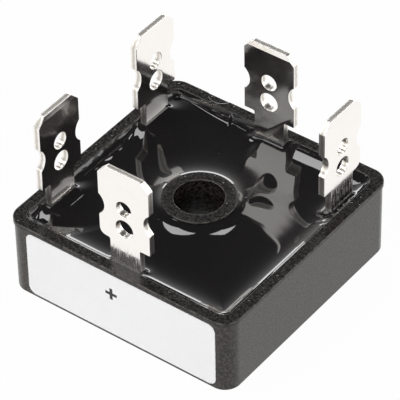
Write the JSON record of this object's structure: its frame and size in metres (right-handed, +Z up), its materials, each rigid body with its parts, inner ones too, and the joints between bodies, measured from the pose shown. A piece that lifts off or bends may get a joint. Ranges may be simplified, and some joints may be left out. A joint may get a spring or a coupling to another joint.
{
  "type": "bridge rectifier",
  "caption": "Square potted three-phase bridge rectifier with a screw hole through its middle and upright push-on blade terminals.",
  "frame": {"origin": "centre of the underside that lies on the heat sink", "axes": "+Z up out of the potted side, -Y out of the labelled side, where the positive blade stands"},
  "size_m": [0.0286, 0.0286, 0.0212],
  "materials": {
    "case_plastic": "fine matt, black",
    "plate_metal": "satin, rolled",
    "insulator": "matt, off-white",
    "copper": "satin copper",
    "silicon": "passivated chip, grey",
    "nickel_plating": "bright nickel on copper",
    "resin": "glossy black cast resin",
    "label_paper": "coated white"
  },
  "bodies": {
    "root": {"case": "case_plastic", "base_plate": "plate_metal", "ceramic": "insulator", "track_plus": "copper", "track_minus": "copper", "die_plus_1": "silicon", "die_plus_2": "silicon", "die_plus_3": "silicon", "die_minus_1": "silicon", "die_minus_2": "silicon", "die_minus_3": "silicon", "strap_ac_1": "copper", "strap_ac_2": "copper", "strap_ac_3": "copper", "terminal_plus": "nickel_plating", "terminal_minus": "nickel_plating", "terminal_ac_1": "nickel_plating", "terminal_ac_2": "nickel_plating", "terminal_ac_3": "nickel_plating", "potting": "resin", "label": "label_paper"}
  },
  "joints": []
}
